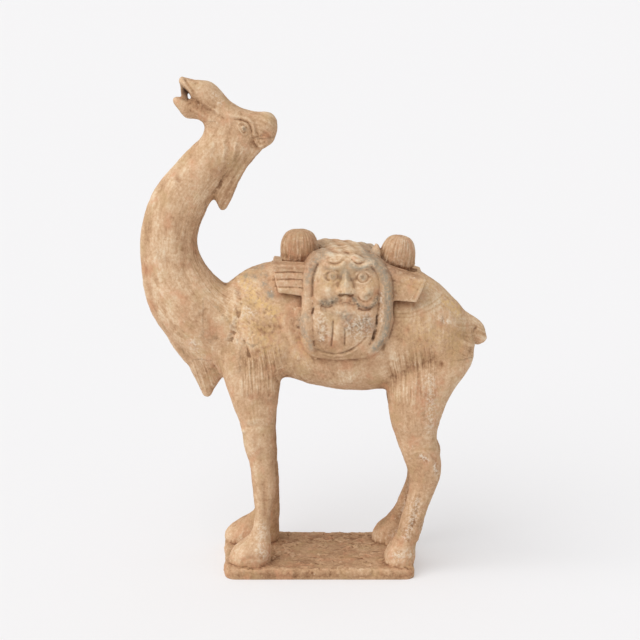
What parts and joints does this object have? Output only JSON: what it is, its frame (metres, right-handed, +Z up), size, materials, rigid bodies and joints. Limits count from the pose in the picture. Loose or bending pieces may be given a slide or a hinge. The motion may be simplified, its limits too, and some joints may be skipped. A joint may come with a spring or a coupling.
{
  "type": "pottery camel figure",
  "caption": "Standing two-humped pottery camel, head thrown back, with a saddle pack bearing a guardian mask, on a flat slab.",
  "frame": {"origin": "middle of the underside of the base slab", "axes": "+Z up, the camel's head towards -X and its tail towards +X, its left side towards -Y"},
  "size_m": [0.3474, 0.123, 0.4945],
  "materials": {
    "fired_clay": "unglazed buff earthenware, dry and matt, with worn slip, traces of grey-blue pigment and earth in the hollows"
  },
  "bodies": {
    "root": {"camel_figure": "fired_clay"}
  },
  "joints": []
}
